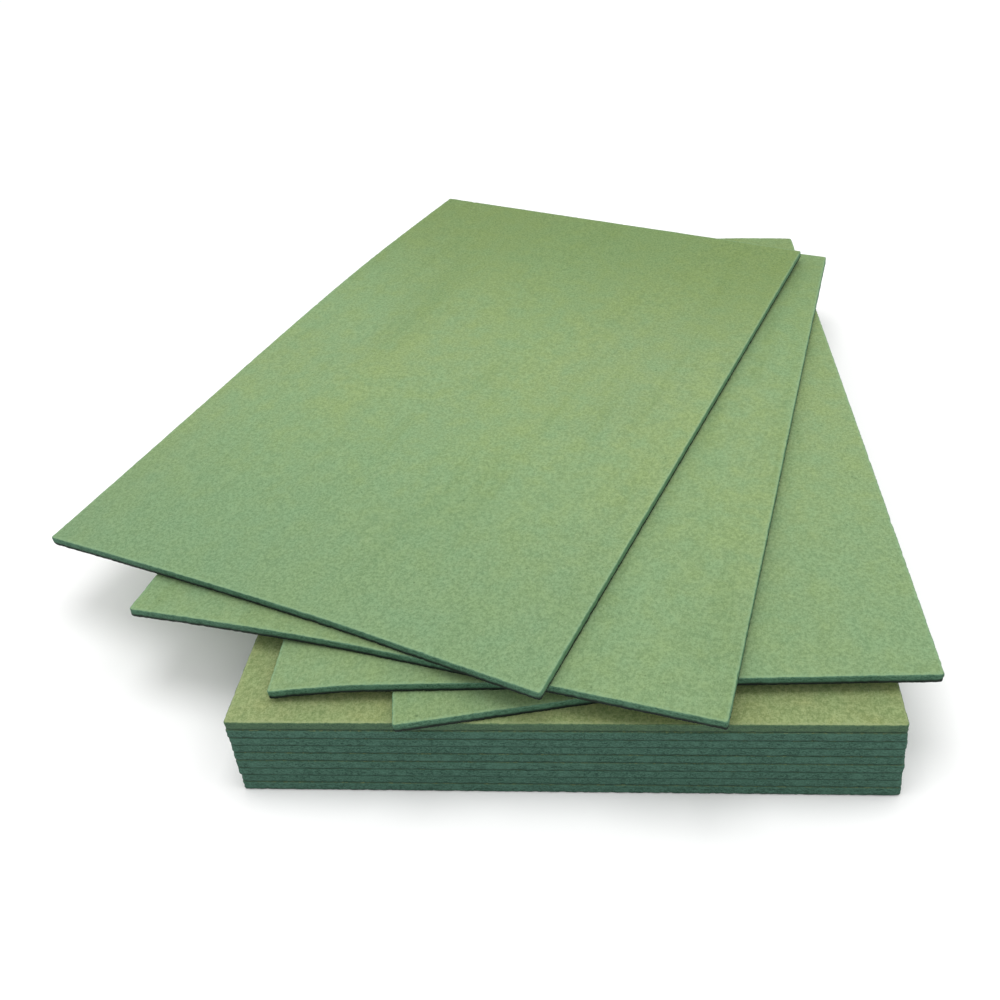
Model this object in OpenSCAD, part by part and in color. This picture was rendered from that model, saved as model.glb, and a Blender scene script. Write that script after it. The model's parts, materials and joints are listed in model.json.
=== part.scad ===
// A pile of green wood-fibre underlay boards.
// Nine boards lie in a neat stack. On it lie a board that was cut narrower and three full boards,
// each turned about the vertical and resting flat on the one below.
// The origin is at the centre of the bottom board's underside.
// X runs along the short sides of the stack, Y along the long sides, Z up.

/* [Boards] */
// Width of a full board, along X
board_w = 590; // [300:5:900]
// Length of a full board, along Y
board_l = 850; // [500:5:1300]
// Thickness of every board
board_t = 10; // [3:0.5:20]
// Radius of the blunt corners, seen from above
corner_r = 3; // [0.5:0.5:8]

/* [Neat stack] */
// Farthest that a stack board has slid out of line
stagger = 0.5; // [0:0.1:3]

/* [Trimmed board] */
// Width that is left of the board that was cut lengthwise
trimmed_w = 440; // [200:5:590]
// Its front left corner, to the right of the stack's
trimmed_x = 155; // [0:0.5:300]
// Its front left corner, behind the stack's front
trimmed_y = -10; // [-100:0.5:100]
// Its turn, anticlockwise from above
trimmed_turn = 10.2; // [-45:0.1:45]

/* [Lower loose board] */
// Its front left corner, to the right of the stack's
lower_x = 35.5; // [-300:0.5:300]
// Its front left corner, behind the stack's front
lower_y = 22.5; // [-100:0.5:300]
// Its turn, anticlockwise from above
lower_turn = 1.3; // [-45:0.1:45]

/* [Middle loose board] */
// Its front left corner, to the right of the stack's
middle_x = -133.5; // [-300:0.5:300]
// Its front left corner, behind the stack's front
middle_y = 121.5; // [-100:0.5:300]
// Its turn, anticlockwise from above
middle_turn = -14.1; // [-45:0.1:45]

/* [Top loose board] */
// Its front left corner, to the right of the stack's
top_x = -261.5; // [-300:0.5:300]
// Its front left corner, behind the stack's front
top_y = 222; // [-100:0.5:300]
// Its turn, anticlockwise from above
top_turn = -22.3; // [-45:0.1:45]

/* [Hidden] */

// Space between one board and the next, so that turned boards never cut each other
lie_gap = 0.02;
// Rise from the underside of one board to the underside of the next
level_h = board_t + lie_gap;

// Boards in the neat stack, counted from the bottom
stack_count = 9;
stack_h = stack_count * level_h;

// A full circle divided by these turns gives a wander that doesn't repeat within the stack
wander_x = 137;
wander_y = 95;

stack_green = [0.42, 0.50, 0.30];
loose_green = [0.50, 0.60, 0.40];

$fn = 48;

// Outline of one board with blunt corners, its front left corner at the origin
module outline(w) {
    translate([corner_r, 0]) square([w - 2 * corner_r, board_l]);
    translate([0, corner_r]) square([w, board_l - 2 * corner_r]);
    for (x = [corner_r, w - corner_r], y = [corner_r, board_l - corner_r])
        translate([x, y]) circle(corner_r);
}

// One solid board of width w, lying flat
module board(w) {
    linear_extrude(board_t) outline(w);
}

// Board number k of the neat stack, counted from 1 at the bottom.
// The bottom board is centred on the origin and the others have slid a little.
module stack_board(k) {
    slide_x = stagger * sin(wander_x * (k - 1));
    slide_y = stagger * sin(wander_y * (k - 1));
    color(stack_green)
        translate([slide_x - board_w / 2, slide_y - board_l / 2, (k - 1) * level_h])
            board(board_w);
}

// A loose board of width w on the given level above the stack, turned about its front left corner.
// x and y are measured from the stack's front left corner.
module loose_board(w, level, x, y, turn) {
    color(loose_green)
        translate([x - board_w / 2, y - board_l / 2, stack_h + level * level_h])
            rotate(turn) board(w);
}

module trimmed_board() {
    loose_board(trimmed_w, 0, trimmed_x, trimmed_y, trimmed_turn);
}

module lower_loose_board() {
    loose_board(board_w, 1, lower_x, lower_y, lower_turn);
}

module middle_loose_board() {
    loose_board(board_w, 2, middle_x, middle_y, middle_turn);
}

module top_loose_board() {
    loose_board(board_w, 3, top_x, top_y, top_turn);
}

stack_board(1);  // bottom_board
stack_board(2);  // stack_board_2
stack_board(3);  // stack_board_3
stack_board(4);  // stack_board_4
stack_board(5);  // stack_board_5
stack_board(6);  // stack_board_6
stack_board(7);  // stack_board_7
stack_board(8);  // stack_board_8
stack_board(9);  // stack_board_9
trimmed_board();
lower_loose_board();
middle_loose_board();
top_loose_board();
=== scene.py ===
"""A pile of green wood-fibre underlay boards: a neat stack with four loose boards fanned out on it.

Each board is built as a mesh of its own on the place that the frame gives it, with cut edges of torn fibre,
blunt corners, small chips and a face of pressed fibre. The loose boards sag where nothing holds them up.
"""

import json
import math

import bpy
import numpy as np
from mathutils import Matrix, Vector
from mathutils.geometry import delaunay_2d_cdt

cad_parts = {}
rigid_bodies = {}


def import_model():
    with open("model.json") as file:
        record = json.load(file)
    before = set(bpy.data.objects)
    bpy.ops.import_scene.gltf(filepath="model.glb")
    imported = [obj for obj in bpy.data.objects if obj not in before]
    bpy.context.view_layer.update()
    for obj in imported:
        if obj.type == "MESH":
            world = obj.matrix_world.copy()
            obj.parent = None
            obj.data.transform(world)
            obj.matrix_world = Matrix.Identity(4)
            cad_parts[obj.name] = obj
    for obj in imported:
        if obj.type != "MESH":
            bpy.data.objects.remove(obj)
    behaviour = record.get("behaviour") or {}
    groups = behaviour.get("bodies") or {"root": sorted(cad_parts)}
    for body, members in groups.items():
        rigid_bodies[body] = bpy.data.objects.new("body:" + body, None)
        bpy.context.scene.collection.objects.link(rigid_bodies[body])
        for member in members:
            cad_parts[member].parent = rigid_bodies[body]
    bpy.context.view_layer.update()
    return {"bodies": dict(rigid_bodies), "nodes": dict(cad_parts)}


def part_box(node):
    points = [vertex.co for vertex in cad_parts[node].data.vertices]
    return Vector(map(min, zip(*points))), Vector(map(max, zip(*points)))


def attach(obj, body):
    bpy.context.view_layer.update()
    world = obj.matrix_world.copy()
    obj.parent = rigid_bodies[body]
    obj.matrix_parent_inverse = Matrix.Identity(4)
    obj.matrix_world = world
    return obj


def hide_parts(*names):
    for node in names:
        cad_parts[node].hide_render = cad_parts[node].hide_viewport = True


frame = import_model()

# Everything below is in metres.
MM = 0.001

# ---------------------------------------------------------------- the boards' shape

# Distance between points round a board's outline
EDGE_STEP = 2 * MM
# Blunt radius of the four corners, seen from above, and the steps round it
CORNER_RADIUS = 3 * MM
CORNER_STEPS = 4
# One half of a board's section, from the face to the middle of the cut edge:
# how far in from the outline, how far down from the face, how much of it is cut edge, how much is rim
HALF_SECTION = (
    (9.0 * MM, 0.00 * MM, 0.0, 0.0),
    (4.0 * MM, 0.00 * MM, 0.0, 0.45),
    (1.6 * MM, 0.03 * MM, 0.1, 1.0),
    (0.7 * MM, 0.12 * MM, 0.4, 1.0),
    (0.25 * MM, 0.35 * MM, 0.8, 1.0),
    (0.05 * MM, 0.90 * MM, 1.0, 0.8),
    (0.00 * MM, 2.00 * MM, 1.0, 0.2),
    (0.00 * MM, 3.40 * MM, 1.0, 0.0),
)
# Rings of points on the face inside that section: how much farther in they lie,
# and how many points of the outline there are for one of theirs
FACE_RINGS = ((4 * MM, 2), (11 * MM, 4), (24 * MM, 8))
# The grid of points on the rest of the face: how much farther in it begins, and its pitch
GRID_INSET = 40 * MM
GRID_PITCH = 26 * MM
# Points of a face that lie closer together than this are taken as one
SAME_POINT = 1e-7
# A board's straight sides are longer than this, and the steps round its corners shorter
LONG_EDGE = 100 * MM
# The long edges, which begin this far from the corners, are painted paler than the short ones: painted
# light on the sides
SIDE_FADE = 8 * MM

# How far the cut edge wanders in and out, how deep it is nibbled, how deep its layers are torn
# and how far they are out of level, each with the number of outline points that one swell is wide
WANDER, WANDER_REACH = 0.30 * MM, 45
NIBBLE, NIBBLE_REACH = 0.22 * MM, 0.7
TEAR, TEAR_REACH = 0.16 * MM, 2.5
SHIVER, SHIVER_REACH = 0.10 * MM, 1.0
# The face keeps still from this far in while the edge is roughened
CALM_INSET = 4 * MM
# How much more of the lower rim has been worn away than of the upper one,
# and the part of the thickness above the place where that wear begins
UNDERCUT = 0.5 * MM
UNDERCUT_START = 0.8
# Crushed corners and chips of the edge: the least and most depth, then the least and most width
CORNER_DENT = ((0.3 * MM, 1.1 * MM), (2.0 * MM, 3.5 * MM))
EDGE_CHIP = ((0.15 * MM, 0.7 * MM), (1.0 * MM, 3.0 * MM))
CHIP_COUNT = 26
# How fast a dent fades over the thickness, and how far it presses the rim down for each step inwards
DENT_FADE = 4
DENT_SINK = 0.35
# How far a board's faces are pressed in and out of flat, always inwards,
# with the number of waves that make it up and how fast they run, in radians per metre
FACE_WAVE = 0.07 * MM
WAVE_COUNT = 6
WAVE_RATES = (8, 30)

# The loose boards' droop past the trimmed board that holds them up: how far a board has sunk
# at the given distance beyond the trimmed board's left side, and beyond its right side
DROOP = {
    "lower_loose_board": ((7.4 * MM, 113 * MM), (5.8 * MM, 153 * MM)),
    "middle_loose_board": ((15.0 * MM, 258 * MM), (7.0 * MM, 183 * MM)),
    "top_loose_board": ((21.2 * MM, 369 * MM), (0.3 * MM, 145 * MM)),
}
DROOP_POWER = 1.5
# The sag begins this far beyond the trimmed board's side, so that no board cuts into that side
BEND_START = 26 * MM
# How far the top board has curled up at its back left corner, lifted along its back edge
# and arched along its left side, with the power that each grows by towards the back
CURL, CURL_POWER = 6.7 * MM, 2
LIFT, LIFT_POWER = 3 * MM, 3
ARCH, ARCH_POWER = 7 * MM, 1.6


class Board:
    """Where one board of the frame lies: its centre, its directions, its size and its underside."""

    def __init__(self, name):
        self.name = name
        mesh = frame["nodes"][name].data
        points = np.array([v.co for v in mesh.vertices])[:, :2]
        runs = [points[e.vertices[1]] - points[e.vertices[0]] for e in mesh.edges]
        runs = [run / np.linalg.norm(run) for run in runs if np.linalg.norm(run) > LONG_EDGE]
        along = min(runs, key=lambda run: np.prod(self.reach(points, run)))
        if np.argmax(self.reach(points, along)) == 1:
            along = np.array([-along[1], along[0]])
        self.v = along if along[1] > 0 else -along
        self.u = np.array([self.v[1], -self.v[0]])
        self.length, self.width = self.reach(points, self.v).tolist()
        low = np.array([(points @ self.u).min(), (points @ self.v).min()])
        high = np.array([(points @ self.u).max(), (points @ self.v).max()])
        self.centre = (low[0] + high[0]) / 2 * self.u + (low[1] + high[1]) / 2 * self.v
        bottom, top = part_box(name)
        self.underside = bottom.z
        self.thickness = top.z - bottom.z

    @staticmethod
    def reach(points, run):
        """How far the points spread along a direction and across it."""
        across = np.array([run[1], -run[0]])
        return np.array([np.ptp(points @ run), np.ptp(points @ across)])

    def to_world(self, spots):
        """Places on the board, from its centre, as places on the floor plan."""
        return self.centre + np.outer(spots[:, 0], self.u) + np.outer(spots[:, 1], self.v)

    def matrix(self):
        turn = math.atan2(self.u[1], self.u[0])
        place = Matrix.Translation((self.centre[0], self.centre[1], self.underside))
        return place @ Matrix.Rotation(turn, 4, "Z")


boards = {name: Board(name) for name in frame["bodies"]}
holder = boards["trimmed_board"]
top_board = boards["top_loose_board"]
stacked = [name for name in boards if name not in DROOP and name != holder.name]


def rounded_outline(width, length, inset):
    """Points round a board's outline at the given inset, anticlockwise, from its centre."""
    half_w = width / 2 - inset - CORNER_RADIUS
    half_l = length / 2 - inset - CORNER_RADIUS
    counts = (round(width / EDGE_STEP), round(length / EDGE_STEP))
    corners = [np.array([x * half_w, y * half_l]) for x, y in ((1, -1), (1, 1), (-1, 1), (-1, -1))]
    points = []
    for side, corner in enumerate(corners):
        before = corners[side - 1]
        angle = (side - 1) * math.pi / 2
        out = np.array([math.cos(angle), math.sin(angle)]) * CORNER_RADIUS
        count = counts[side % 2]
        points += [before + out + (corner - before) * i / count for i in range(count)]
        for i in range(CORNER_STEPS):
            bend = angle + i / CORNER_STEPS * math.pi / 2
            points.append(corner + CORNER_RADIUS * np.array([math.cos(bend), math.sin(bend)]))
    return np.array(points)


def outward(points):
    """The outward direction at each point of a closed anticlockwise outline."""
    ahead = np.roll(points, -1, axis=0) - np.roll(points, 1, axis=0)
    normal = np.stack([ahead[:, 1], -ahead[:, 0]], axis=1)
    return normal / np.linalg.norm(normal, axis=1, keepdims=True)


def ripple(rng, rows, count, reach):
    """Rows of smooth random values round an outline: swells about reach points wide, with a spread of 1."""
    raw = np.fft.rfft(rng.standard_normal((rows, count)), axis=1)
    blur = np.exp(-2 * (math.pi * reach * np.fft.rfftfreq(count)) ** 2)
    smooth = np.fft.irfft(raw * blur, count, axis=1)
    return smooth / smooth.std()


def face_plan(width, length):
    """The points and triangles that fill a board's face inside its innermost ring of points."""
    innermost = HALF_SECTION[0][0]
    border = rounded_outline(width, length, innermost)
    inner = [rounded_outline(width, length, innermost + inset)[::thin] for inset, thin in FACE_RINGS]
    margin = innermost + GRID_INSET
    columns = round((width - 2 * margin) / GRID_PITCH) + 1
    rows = round((length - 2 * margin) / GRID_PITCH) + 1
    across = np.linspace(margin - width / 2, width / 2 - margin, columns)
    along = np.linspace(margin - length / 2, length / 2 - margin, rows)
    inner.append(np.array([(x, y) for y in along for x in across]))
    points = np.concatenate([border, *inner])
    only_inside = 1
    made = delaunay_2d_cdt(
        [Vector(p) for p in points], [], [list(range(len(border)))], only_inside, SAME_POINT
    )
    source = [ids[0] for ids in made[3]]
    return points[len(border):], [[source[i] for i in face] for face in made[2]]


def droop(board, spots):
    """How far each spot on a board lies above or below where it would on a flat board."""
    total = np.zeros(len(spots))
    if board.name not in DROOP:
        return total
    across = (board.to_world(spots) - holder.centre) @ holder.u
    for side, (sunk, distance) in zip((-1, 1), DROOP[board.name]):
        past = np.maximum(0, side * across - holder.width / 2 - BEND_START)
        total -= sunk * (past / (distance - BEND_START)) ** DROOP_POWER
    if board is top_board:
        back = np.clip(spots[:, 1] / board.length + 0.5, 0, 1)
        left = np.clip(0.5 - spots[:, 0] / board.width, 0, 1)
        arch = ARCH * np.sin(math.pi * back**ARCH_POWER) * left
        total += CURL * back**CURL_POWER * left + LIFT * back**LIFT_POWER + arch
    return total


def face_wave(seed, spots):
    """How far a face is pressed in at the given spots."""
    rng = np.random.default_rng(seed)
    total = np.zeros(len(spots))
    for _ in range(WAVE_COUNT):
        direction = rng.uniform(0, 2 * math.pi)
        rate = rng.uniform(*WAVE_RATES)
        phase = rng.uniform(0, 2 * math.pi)
        run = spots[:, 0] * math.cos(direction) + spots[:, 1] * math.sin(direction)
        total += np.sin(rate * run + phase)
    return FACE_WAVE * (0.5 + total / (2 * WAVE_COUNT))


def dents(rng, board, outline, downs):
    """How far in the corners are crushed and the edges chipped, for each row and each point."""
    made = []
    corners = [(x * board.width / 2, y * board.length / 2) for x in (-1, 1) for y in (-1, 1)]
    for corner in corners:
        depth, width = CORNER_DENT
        made.append((corner, rng.uniform(*depth), rng.uniform(*width), rng.uniform(0, 1)))
    for _ in range(CHIP_COUNT):
        spot = outline[rng.integers(len(outline))]
        depth, width = EDGE_CHIP
        made.append((spot, rng.uniform(*depth), rng.uniform(*width), rng.choice([0.0, 1.0])))
    total = np.zeros((len(downs), len(outline)))
    for spot, depth, width, level in made:
        near = np.exp(-(((outline - np.array(spot)) ** 2).sum(axis=1)) / (2 * width**2))
        for row, down in enumerate(downs):
            total[row] += depth * near * math.exp(-DENT_FADE * abs(down - level))
    return total


class Shell:
    """The points, faces and painted measures of one board's mesh while it is being built."""

    def __init__(self):
        self.points = []
        self.faces = []
        self.measures = {"cut": [], "rim": [], "down": [], "side": []}

    def add(self, board, spots, height, **measures):
        """Adds a board's points, sagged into place, and gives the number of the first."""
        first = len(self.points)
        self.points += np.column_stack([spots, height + droop(board, spots)]).tolist()
        for label, value in measures.items():
            self.measures[label] += np.broadcast_to(value, len(spots)).tolist()
        return first

    def mesh(self, name):
        mesh = bpy.data.meshes.new(name)
        mesh.from_pydata(self.points, [], self.faces)
        for label, values in self.measures.items():
            mesh.attributes.new(label, "FLOAT", "POINT").data.foreach_set("value", values)
        mesh.shade_smooth()
        mesh.update()
        return mesh


def build_edge(shell, board, seed):
    """Adds the rings of points round a board, from face to face, and gives their number."""
    lower = [(inset, board.thickness - drop, cut, rim) for inset, drop, cut, rim in reversed(HALF_SECTION)]
    middle = (0.0, board.thickness / 2, 1.0, 0.0)
    section = [*HALF_SECTION, middle, *lower]
    outline = rounded_outline(board.width, board.length, 0)
    away = outward(outline)
    count, rows = len(outline), len(section)
    # How much of each point lies on a long side, where the cut edge gets painted light
    on_side = np.abs(outline[:, 0]) > board.width / 2 - CORNER_RADIUS
    side = on_side * np.clip((board.length / 2 - np.abs(outline[:, 1])) / SIDE_FADE, 0, 1)

    # Roughness of the cut edge, as a distance inwards for each row and each point round the board
    rng = np.random.default_rng(seed)
    wander = WANDER * (0.5 + 0.25 * ripple(rng, 1, count, WANDER_REACH)[0].clip(-2, 2))
    nibble = NIBBLE * np.abs(ripple(rng, 1, count, NIBBLE_REACH)[0])
    tear = TEAR * np.abs(ripple(rng, rows, count, TEAR_REACH))
    dent = dents(rng, board, outline, [drop / board.thickness for _, drop, _, _ in section])
    shiver = SHIVER * ripple(rng, rows, count, SHIVER_REACH)
    rough = wander + nibble + tear + dent

    for row, (inset, drop, cut, rim) in enumerate(section):
        down = drop / board.thickness
        is_upper = down < 0.5
        inwards = -1 if is_upper else 1
        calm = max(0.0, 1 - inset / CALM_INSET)
        worn = UNDERCUT * max(0.0, down - UNDERCUT_START) / (1 - UNDERCUT_START)
        pushed_in = away * (calm * (rough[row] + worn))[:, None]
        spots = rounded_outline(board.width, board.length, inset) - pushed_in
        height = board.thickness - drop + calm * shiver[row]
        height += inwards * face_wave(seed + 1 + is_upper, spots)
        height += inwards * DENT_SINK * dent[row]
        shell.add(board, spots, np.clip(height, 0, board.thickness), cut=cut, rim=rim, down=down, side=side)
    for a in range(0, (rows - 1) * count, count):
        b = a + count
        shell.faces += [(a + i, b + i, b + (i + 1) % count, a + (i + 1) % count) for i in range(count)]
    return count, rows


def build_board(board, plan, seed):
    """One board as a mesh object: two faces joined by a rough cut edge."""
    shell = Shell()
    count, rows = build_edge(shell, board, seed)
    inner, triangles = plan
    for ring, is_upper in ((0, True), ((rows - 1) * count, False)):
        wave = face_wave(seed + 1 + is_upper, inner)
        height = board.thickness - wave if is_upper else wave
        first = shell.add(board, inner, height, cut=0.0, rim=0.0, down=0.0 if is_upper else 1.0, side=0.0)
        for triangle in triangles:
            corners = [ring + i if i < count else first + i - count for i in triangle]
            shell.faces.append(corners if is_upper else corners[::-1])
    piece = bpy.data.objects.new(board.name + "_looks", shell.mesh(board.name))
    bpy.context.scene.collection.objects.link(piece)
    piece.matrix_world = board.matrix()
    return piece


# ---------------------------------------------------------------- the boards' finish

# How much brighter the studio's light is than it takes to show a paint as its own colour
LIGHT_LEVEL = 1.49
# How far along a board from its centre the painted shade of its far end and the tint of its near end are at
# their strongest
BOARD_END = 0.42
# Each board shows its own part of the fibre pattern, moved by at most this far each way
PATTERN_REACH = 20
PATTERN_SEED = 500


class Value:
    """A socket that carries a number, so that sums written with it add Math nodes."""

    def __init__(self, shader, socket):
        self.shader = shader
        self.socket = socket

    def maths(self, operation, first, second):
        return self.shader.value("ShaderNodeMath", {"operation": operation}, {0: first, 1: second})

    def __add__(self, other):
        return self.maths("ADD", self, other)

    def __sub__(self, other):
        return self.maths("SUBTRACT", self, other)

    def __rsub__(self, other):
        return self.maths("SUBTRACT", other, self)

    def __mul__(self, other):
        return self.maths("MULTIPLY", self, other)

    __radd__ = __add__
    __rmul__ = __mul__


class Shader:
    """One material and the nodes that are added to it."""

    def __init__(self, name):
        self.material = bpy.data.materials.new(name)
        self.material.use_nodes = True
        self.tree = self.material.node_tree
        self.tree.nodes.clear()

    def node(self, kind, settings, sockets):
        """Adds a node: its settings first, then the values or links of its sockets, by name or number."""
        made = self.tree.nodes.new(kind)
        for name, setting in settings.items():
            setattr(made, name, setting)
        for name, value in sockets.items():
            if isinstance(value, Value):
                value = value.socket
            if isinstance(value, bpy.types.NodeSocket):
                self.tree.links.new(value, made.inputs[name])
            else:
                made.inputs[name].default_value = value
        return made

    def value(self, kind, settings, sockets, output=0):
        return Value(self, self.node(kind, settings, sockets).outputs[output])

    def own_place(self):
        """The piece's own coordinates: across, along and up."""
        return self.node("ShaderNodeTexCoord", {}, {}).outputs["Object"]

    def moved(self, place, shift=(0, 0, 0), turn=0.0, scale=(1, 1, 1)):
        sockets = {"Vector": place, "Location": shift, "Rotation": (0, 0, turn), "Scale": scale}
        return self.node("ShaderNodeMapping", {}, sockets).outputs[0]

    def noise(self, place, scale, detail=2.0, roughness=0.5):
        sockets = {"Vector": place, "Scale": scale, "Detail": detail, "Roughness": roughness}
        return self.value("ShaderNodeTexNoise", {}, sockets)

    def step(self, value, low, high):
        """0 at low and 1 at high, with a soft rise in between."""
        sockets = {"Value": value, "From Min": low, "From Max": high}
        return self.value("ShaderNodeMapRange", {"interpolation_type": "SMOOTHSTEP"}, sockets)

    def attribute(self, name):
        return self.value("ShaderNodeAttribute", {"attribute_name": name}, {}, "Fac")

    def blend(self, mask, below, above, kind="MIX"):
        """A colour that goes from below to above, or to their product, as mask goes from 0 to 1."""
        settings = {"data_type": "RGBA", "clamp_factor": True, "blend_type": kind}
        return self.node("ShaderNodeMix", settings, {0: mask, 6: below, 7: above}).outputs[2]

    def surface(self, sockets):
        """Finishes the material with one surface and gives the material."""
        finish = self.node("ShaderNodeBsdfPrincipled", {}, sockets)
        self.node("ShaderNodeOutputMaterial", {}, {"Surface": finish.outputs[0]})
        return self.material


def tone(red, green, blue):
    """The paint that shows as the given colour, from 0 to 255, in the light of this studio."""
    return tuple(((c / 255 + 0.055) / 1.055) ** 2.4 / LIGHT_LEVEL for c in (red, green, blue)) + (1.0,)


# The dye of the loose boards' faces and of the stack's: its main colour, its warm and cool patches,
# the colour of its olive streaks, which is also painted shade at a board's far end, the colour it turns to
# at the near end, and how deep fibres darken it
SAGE = {
    "light": tone(163, 188, 134),
    "warm": tone(170, 192, 124),
    "cool": tone(152, 189, 142),
    "olive_streak_and_far_shade": tone(133, 159, 89),
    "near_end": tone(140, 176, 134),
    "shade": (0.55, 0.61, 0.55, 1.0),
}
OLIVE = {
    "light": tone(174, 188, 134),
    "warm": tone(188, 194, 128),
    "cool": tone(158, 188, 131),
    "olive_streak_and_far_shade": tone(168, 181, 122),
    "near_end": tone(180, 190, 130),
    "shade": (0.44, 0.52, 0.40, 1.0),
}
# The cut edges of the loose boards, of the stack's top board and of the boards below it: rim and
# cut_rim_wear_and_highlight are paler lines of wear and painted highlight, cut_side_painted_light is
# painted light, cut_foot_painted_shade is painted shade
LOOSE_CUT = {
    "rim": tone(152, 190, 150),
    "cut_light": tone(92, 136, 108),
    "cut_dark": tone(50, 88, 66),
    "cut_side_painted_light": tone(112, 156, 114),
    "cut_rim_wear_and_highlight": tone(116, 156, 124),
    "cut_foot_painted_shade": tone(10, 20, 13),
}
STACK_TOP_CUT = {
    "rim": tone(164, 178, 130),
    "cut_light": tone(90, 122, 90),
    "cut_dark": tone(58, 86, 66),
    "cut_side_painted_light": tone(92, 122, 88),
    "cut_rim_wear_and_highlight": tone(112, 142, 98),
    "cut_foot_painted_shade": tone(34, 58, 44),
}
STACK_CUT = {
    "rim": tone(92, 128, 104),
    "cut_light": tone(81, 123, 105),
    "cut_dark": tone(39, 73, 59),
    "cut_side_painted_light": tone(64, 102, 86),
    "cut_rim_wear_and_highlight": tone(80, 122, 102),
    "cut_foot_painted_shade": tone(30, 58, 46),
}
PALE_FIBRE = tone(190, 205, 160)
DARK_FIBRE = tone(82, 110, 66)
SPECK = tone(70, 98, 58)


def dye_colour(shader, place, along, paints, patches, end_tint_and_shade):
    """Broad soft patches, drawn out along the board, where the dye has taken unevenly, and painted shade
    towards a board's far end.
    """
    broad = shader.noise(shader.moved(place, scale=(1, 0.35, 1)), 9.0, 3.0, 0.55)
    drift = shader.noise(shader.moved(place, shift=(3, 1, 0), scale=(1, 0.5, 1)), 4.0, 2.0)
    streak = shader.noise(shader.moved(place, scale=(1, 0.1, 1)), 30.0, 3.0, 0.6)
    blotch = shader.noise(place, 32.0, 3.0, 0.6)
    layers = (
        (shader.step(broad, 0.35, 0.7) * patches, "warm"),
        (shader.step(drift, 0.4, 0.7) * patches, "cool"),
        (shader.step(blotch, 0.45, 0.7) * (0.9 * patches), "cool"),
        (shader.step(blotch, 0.52, 0.3) * (0.8 * patches), "warm"),
        # Olive streaks along the board, in the dye
        (shader.step(streak, 0.5, 0.75) * (0.6 * patches), "olive_streak_and_far_shade"),
        # Darker and yellower towards the far end: painted shade; darker and bluer towards the near end
        (shader.step(along, 0.0, BOARD_END) * end_tint_and_shade, "olive_streak_and_far_shade"),
        (shader.step(along, -0.1, -BOARD_END) * end_tint_and_shade, "near_end"),
    )
    colour = paints["light"]
    for mask, paint in layers:
        colour = shader.blend(mask, colour, paints[paint])
    return colour


def edge_colour(shader, place, paints, layers, torn, side):
    """The cut edge, which shows the layers of fibre lying flat and is painted paler along the board's long
    sides, as painted light.
    """
    lumps = shader.noise(place, 70.0, 3.0)
    grain = shader.step(layers * 0.5 + torn * 0.5, 0.4, 0.6)
    colour = shader.blend(grain, paints["cut_dark"], paints["cut_light"])
    colour = shader.blend(shader.step(lumps, 0.45, 0.75) * 0.5, colour, paints["cut_light"])
    # Paler long sides of the cut edge: painted light
    return shader.blend(side * 0.75, colour, paints["cut_side_painted_light"])


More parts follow.
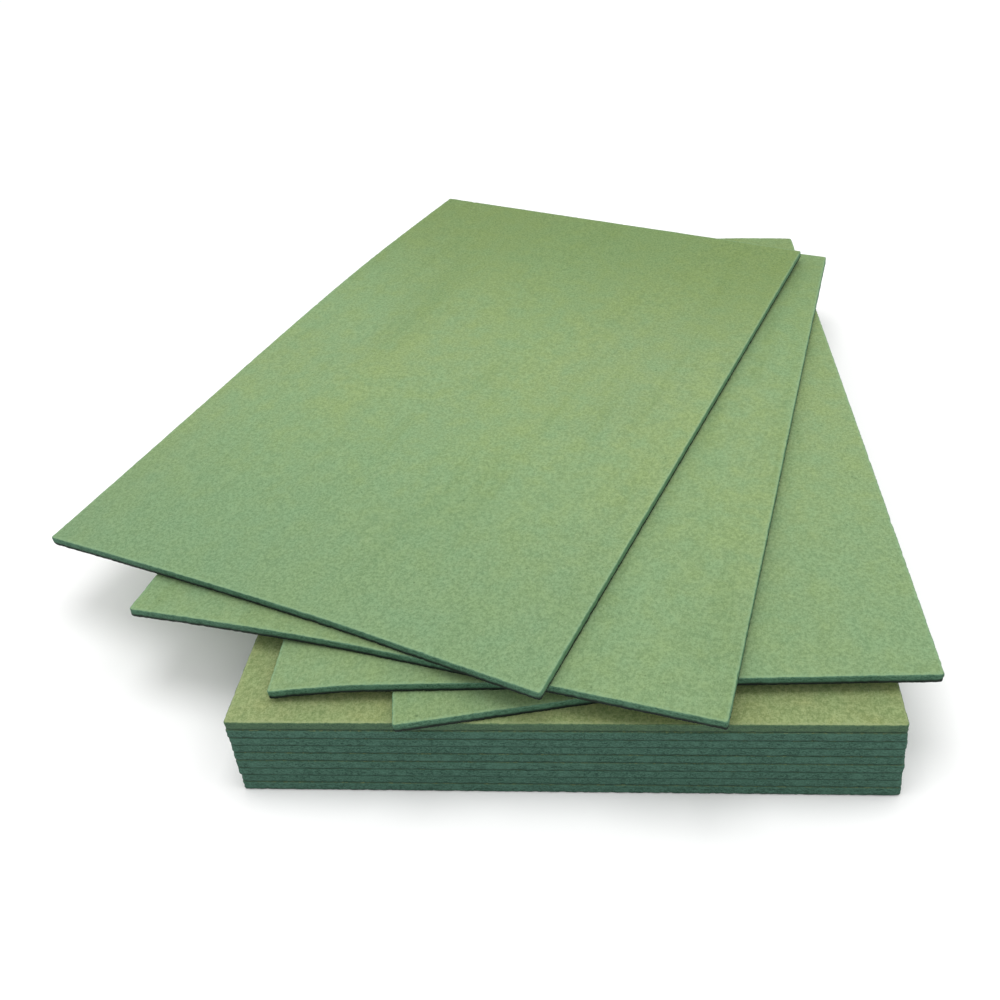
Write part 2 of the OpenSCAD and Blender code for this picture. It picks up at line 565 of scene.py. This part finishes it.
def fibreboard(name, shift, paints, patches, specks, end_tint_and_shade, rim_wear_and_highlight, foot_shade_start):
    """Matt pressed wood fibre, dyed through, with darker and rougher cut edges.

    patches, specks, faded and rim_wear_and_highlight say how strongly the dye's patches, the dark specks,
    the painted shade of the far end with the tint of the near end, and the paler rim of wear and painted
    highlight show. foot_shade_start says how far down the cut edge its painted dark shade begins.
    """
    shader = Shader(name)
    own = shader.own_place()
    place = shader.moved(own, shift=shift)
    cut, rim, down, side = (shader.attribute(label) for label in ("cut", "rim", "down", "side"))
    along = shader.value("ShaderNodeSeparateXYZ", {}, {0: own}, "Y")

    # Clumps of fibre that lie a little deeper and darker
    clump = shader.noise(place, 320.0, 3.0, 0.7)
    grain = shader.noise(place, 700.0, 3.0, 0.7)
    deep = shader.step(clump * 0.6 + grain * 0.4, 0.62, 0.38)
    dye = dye_colour(shader, place, along, paints, patches, end_tint_and_shade)
    face = shader.blend(deep * 0.7 + 0.15, dye, paints["shade"], "MULTIPLY")

    # Single fibres lying in every direction
    fibres = [
        shader.noise(shader.moved(place, turn=turn, scale=(1, 0.16, 1)), 1100.0, 1.0)
        for turn in (0.3, 1.35, 2.4)
    ]
    pale_fibre = shader.step(fibres[0], 0.66, 0.74) + shader.step(fibres[1], 0.68, 0.76)
    dark_fibre = shader.step(fibres[2], 0.67, 0.75)
    face = shader.blend(pale_fibre * 0.22, face, PALE_FIBRE)
    face = shader.blend(dark_fibre * 0.3, face, DARK_FIBRE)

    # Dark specks of bark, thinly scattered
    speck = shader.value("ShaderNodeTexVoronoi", {}, {"Vector": place, "Scale": 110.0}, "Distance")
    chosen = shader.step(shader.noise(place, 130.0, 1.0), 0.56, 0.66)
    speck = (1 - shader.step(speck, 0.05, 0.2)) * chosen
    face = shader.blend(speck * specks, face, SPECK)

    layers = shader.noise(shader.moved(place, scale=(1, 1, 5)), 220.0, 4.0, 0.75)
    torn = shader.noise(shader.moved(place, scale=(1, 1, 2)), 620.0, 2.0, 0.6)
    edge = edge_colour(shader, place, paints, layers, torn, side)

    # The skin of the face breaks off unevenly along the rim and shows a paler line there, partly wear and
    # partly a painted highlight, and the bottom of the cut edge is painted near-black as painted shade,
    # where the edge meets the board below
    frayed = shader.step(cut + (shader.noise(place, 650.0, 3.0, 0.7) - 0.5) * 0.9, 0.35, 0.65)
    worn = shader.step(rim * 0.8 + (shader.noise(place, 300.0, 3.0, 0.6) - 0.5) * 1.2, 0.35, 0.9)
    skin = shader.blend(worn * rim_wear_and_highlight, face, paints["rim"])
    # Paler top of the cut edge: wear and a painted highlight
    edge = shader.blend(worn * (1 - down) * 0.6, edge, paints["cut_rim_wear_and_highlight"])
    # Near-black bottom of the cut edge: painted shade
    painted_foot_shade = shader.step(down + (torn - 0.5) * 0.35, foot_shade_start, foot_shade_start + 0.3)
    edge = shader.blend(painted_foot_shade * 0.95, edge, paints["cut_foot_painted_shade"])

    height = clump * 0.5 + grain * 0.2 + (pale_fibre - dark_fibre) * 0.2 - speck * 0.3
    height = height * (1 - frayed) + (layers + torn) * frayed
    bump = shader.node("ShaderNodeBump", {}, {"Strength": 0.6, "Distance": 0.5 * MM, "Height": height})
    return shader.surface({
        "Base Color": shader.blend(frayed, skin, edge),
        "Roughness": 0.8 + clump * 0.2,
        "Specular IOR Level": 0.25,
        "Normal": bump.outputs[0],
    })


def finish_for(board, number):
    """The finish of one board: no two took the dye quite alike."""
    name = board.name + "_fibre"
    rng = np.random.default_rng(PATTERN_SEED + number)
    shift = tuple(rng.uniform(-PATTERN_REACH, PATTERN_REACH, 3))
    if board.name in stacked:
        highest = board.name == stacked[-1]
        paints = OLIVE | (STACK_TOP_CUT if highest else STACK_CUT)
        rim_wear_and_highlight = 0.6 if highest else 0.95
        traits = {"patches": 0.5, "specks": 0.6, "end_tint_and_shade": 0.3, "rim_wear_and_highlight": rim_wear_and_highlight, "foot_shade_start": 0.7}
    else:
        paints = SAGE | LOOSE_CUT
        # How strongly the far end is darkened as painted shade and the near end tinted
        end_tint_and_shade = 0.6 if board is top_board else 0.3
        traits = {"patches": 0.45, "specks": 0.45, "end_tint_and_shade": end_tint_and_shade, "rim_wear_and_highlight": 0.35, "foot_shade_start": 0.45}
    return fibreboard(name, shift, paints, **traits)


# ---------------------------------------------------------------- putting the pile together

plans = {}
for number, board in enumerate(boards.values()):
    size = (round(board.width, 4), round(board.length, 4))
    if size not in plans:
        plans[size] = face_plan(board.width, board.length)
    piece = build_board(board, plans[size], 100 * number)
    piece.data.materials.append(finish_for(board, number))
    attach(piece, board.name)
    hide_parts(board.name)

# ---------------------------------------------------------------- floor, light and camera

# The floor reaches this far each way, and lies this far below the bottom board
FLOOR_REACH = 20.0
FLOOR_DROP = 0.2 * MM


def floor_paint():
    """Matt white paint, a little paler away from the middle, where the lamps reach less."""
    shader = Shader("floor_paint")
    away = shader.value("ShaderNodeVectorMath", {"operation": "LENGTH"}, {0: shader.own_place()}, "Value")
    near, far = (0.87, 0.87, 0.87, 1.0), (0.97, 0.97, 0.97, 1.0)
    colour = shader.blend(shader.step(away, 1.2, 3.2), near, far)
    return shader.surface({"Base Color": colour, "Roughness": 0.9})


floor_mesh = bpy.data.meshes.new("floor")
corners = [(x * FLOOR_REACH, y * FLOOR_REACH, -FLOOR_DROP) for x, y in ((-1, -1), (1, -1), (1, 1), (-1, 1))]
floor_mesh.from_pydata(corners, [], [(0, 1, 2, 3)])
floor_mesh.materials.append(floor_paint())
floor = bpy.data.objects.new("floor", floor_mesh)
bpy.context.scene.collection.objects.link(floor)


def softbox(name, place, size, power):
    """A large square lamp aimed at the middle of the pile."""
    lamp = bpy.data.lights.new(name, "AREA")
    lamp.size = size
    lamp.energy = power
    thing = bpy.data.objects.new(name, lamp)
    thing.location = place
    direction = Vector((0, 0, 0.1)) - thing.location
    thing.rotation_euler = direction.to_track_quat("-Z", "Y").to_euler()
    bpy.context.scene.collection.objects.link(thing)


softbox("overhead_softbox", place=(0, -0.2, 3.0), size=1.4, power=32)
softbox("left_softbox", place=(-1.8, -0.4, 2.0), size=0.8, power=4)
softbox("right_softbox", place=(1.4, -0.4, 2.4), size=0.9, power=9)

world = bpy.data.worlds.new("studio")
world.use_nodes = True
world.node_tree.nodes["Background"].inputs["Color"].default_value = (1, 1, 1, 1)
world.node_tree.nodes["Background"].inputs["Strength"].default_value = 1.0
bpy.context.scene.world = world
bpy.context.scene.view_settings.view_transform = "Standard"

# The camera stands low in front, looks down at the pile and leans slightly to one side
STANDPOINT = (0.090, -1.042, 0.853)
LOOK_DOWN = math.radians(29.21)
LOOK_LEFT = math.radians(6.01)
LEAN = math.radians(-4.77)
camera_data = bpy.data.cameras.new("camera")
camera_data.lens = 38.65
camera_data.shift_x = -0.05
camera_data.shift_y = -0.2
camera_data.clip_end = 100
camera = bpy.data.objects.new("camera", camera_data)
bpy.context.scene.collection.objects.link(camera)
turn = Matrix.Rotation(LOOK_LEFT, 4, "Z") @ Matrix.Rotation(math.pi / 2 - LOOK_DOWN, 4, "X")
camera.matrix_world = Matrix.Translation(STANDPOINT) @ turn @ Matrix.Rotation(LEAN, 4, "Z")
bpy.context.scene.camera = camera
